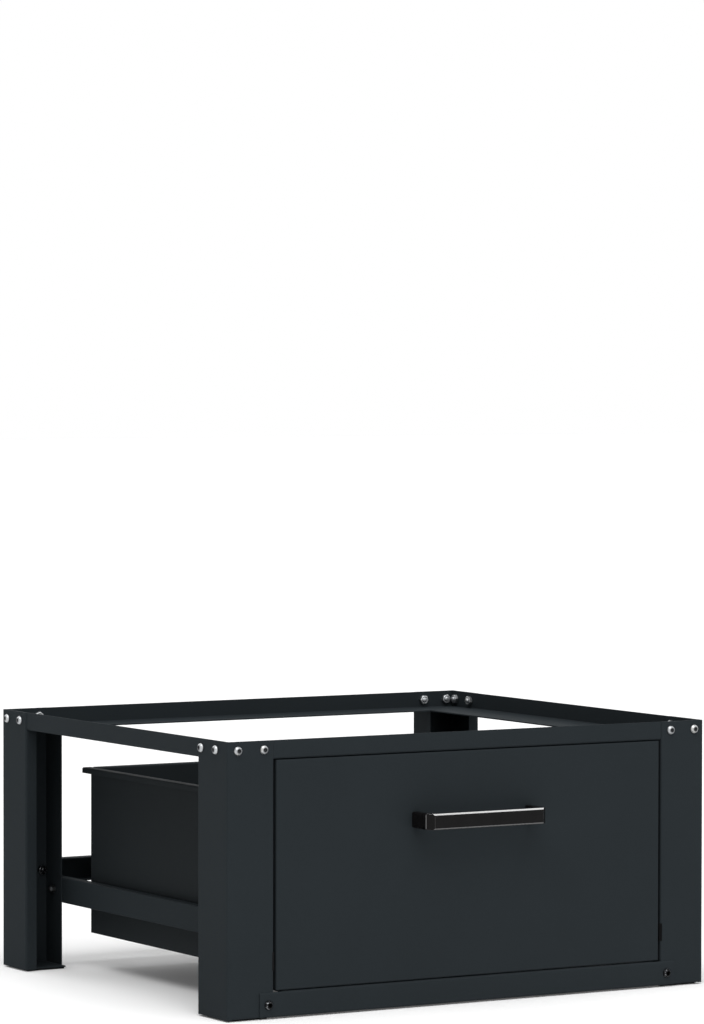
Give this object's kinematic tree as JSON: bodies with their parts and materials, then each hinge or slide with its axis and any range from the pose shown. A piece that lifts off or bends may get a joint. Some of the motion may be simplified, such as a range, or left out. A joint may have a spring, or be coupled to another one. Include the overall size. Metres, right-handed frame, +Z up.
{
  "type": "washer pedestal drawer",
  "caption": "Bolted sheet-steel washing machine pedestal with a raised rim, an open top and a full-width drawer on telescopic ball-bearing slides.",
  "frame": {"origin": "on the floor, below the middle of the whole object's box, handle and bolt heads included", "axes": "+X across the front to the right, as seen from the front; +Y from the drawer front to the back; +Z up"},
  "size_m": [0.6372, 0.586, 0.306],
  "materials": {
    "frame_coat": "fine-texture matt powder coat, anthracite",
    "box_coat": "fine-texture matt powder coat, dark anthracite",
    "pad_rubber": "matt black rubber",
    "zinc": "bright zinc plate",
    "black_bolt": "black oxide, satin",
    "cage_steel": "plain pressed steel",
    "ball_steel": "polished bearing steel",
    "handle_black": "gloss black with bright bevelled edges"
  },
  "bodies": {
    "stand": {"front_left_leg": "frame_coat", "front_right_leg": "frame_coat", "rear_left_leg": "frame_coat", "rear_right_leg": "frame_coat", "front_left_pad": "pad_rubber", "front_right_pad": "pad_rubber", "rear_left_pad": "pad_rubber", "rear_right_pad": "pad_rubber", "front_top_rail": "frame_coat", "rear_top_rail": "frame_coat", "left_top_rail": "frame_coat", "right_top_rail": "frame_coat", "front_bottom_rail": "frame_coat", "rear_cross_rail": "frame_coat", "left_runner_rail": "frame_coat", "right_runner_rail": "frame_coat", "edge_buffers": "pad_rubber", "corner_bolts": "zinc", "corner_nuts": "zinc", "cross_rail_bolts": "black_bolt", "cross_rail_nuts": "black_bolt", "runner_bolts": "zinc", "runner_nuts": "zinc", "slide_rivets": "frame_coat", "slide_bumpers": "pad_rubber", "left_slide_outer": "zinc", "right_slide_outer": "zinc"},
    "drawer": {"drawer_left_side": "box_coat", "drawer_right_side": "box_coat", "drawer_floor": "box_coat", "drawer_front_wall": "box_coat", "drawer_rear_wall": "box_coat", "drawer_front": "frame_coat", "front_screws": "zinc", "slide_screws": "zinc", "slide_nuts": "zinc", "handle_bar": "handle_black", "handle_screws": "zinc", "left_slide_inner": "zinc", "right_slide_inner": "zinc"},
    "left_middle_member": {"left_slide_middle": "zinc"},
    "left_outer_ball_cage": {"left_outer_cage": "cage_steel", "left_outer_balls": "ball_steel"},
    "left_inner_ball_cage": {"left_inner_cage": "cage_steel", "left_inner_balls": "ball_steel"},
    "right_middle_member": {"right_slide_middle": "zinc"},
    "right_outer_ball_cage": {"right_outer_cage": "cage_steel", "right_outer_balls": "ball_steel"},
    "right_inner_ball_cage": {"right_inner_cage": "cage_steel", "right_inner_balls": "ball_steel"}
  },
  "joints": [
    {"name": "drawer_slide", "type": "slide", "parent": "stand", "child": "drawer", "axis": [0, -1, 0], "range_m": [0, 0.43]},
    {"name": "left_middle_member_slide", "type": "slide", "parent": "stand", "child": "left_middle_member", "axis": [0, -1, 0], "range_m": [0, 0.215]},
    {"name": "left_outer_ball_cage_slide", "type": "slide", "parent": "stand", "child": "left_outer_ball_cage", "axis": [0, -1, 0], "range_m": [0, 0.1075]},
    {"name": "left_inner_ball_cage_slide", "type": "slide", "parent": "stand", "child": "left_inner_ball_cage", "axis": [0, -1, 0], "range_m": [0, 0.3225]},
    {"name": "right_middle_member_slide", "type": "slide", "parent": "stand", "child": "right_middle_member", "axis": [0, -1, 0], "range_m": [0, 0.215]},
    {"name": "right_outer_ball_cage_slide", "type": "slide", "parent": "stand", "child": "right_outer_ball_cage", "axis": [0, -1, 0], "range_m": [0, 0.1075]},
    {"name": "right_inner_ball_cage_slide", "type": "slide", "parent": "stand", "child": "right_inner_ball_cage", "axis": [0, -1, 0], "range_m": [0, 0.3225]}
  ],
  "couplings": [
    {"joint": "left_middle_member_slide", "follows": "drawer_slide", "ratio": 0.5},
    {"joint": "left_outer_ball_cage_slide", "follows": "drawer_slide", "ratio": 0.25},
    {"joint": "left_inner_ball_cage_slide", "follows": "drawer_slide", "ratio": 0.75},
    {"joint": "right_middle_member_slide", "follows": "drawer_slide", "ratio": 0.5},
    {"joint": "right_outer_ball_cage_slide", "follows": "drawer_slide", "ratio": 0.25},
    {"joint": "right_inner_ball_cage_slide", "follows": "drawer_slide", "ratio": 0.75}
  ]
}
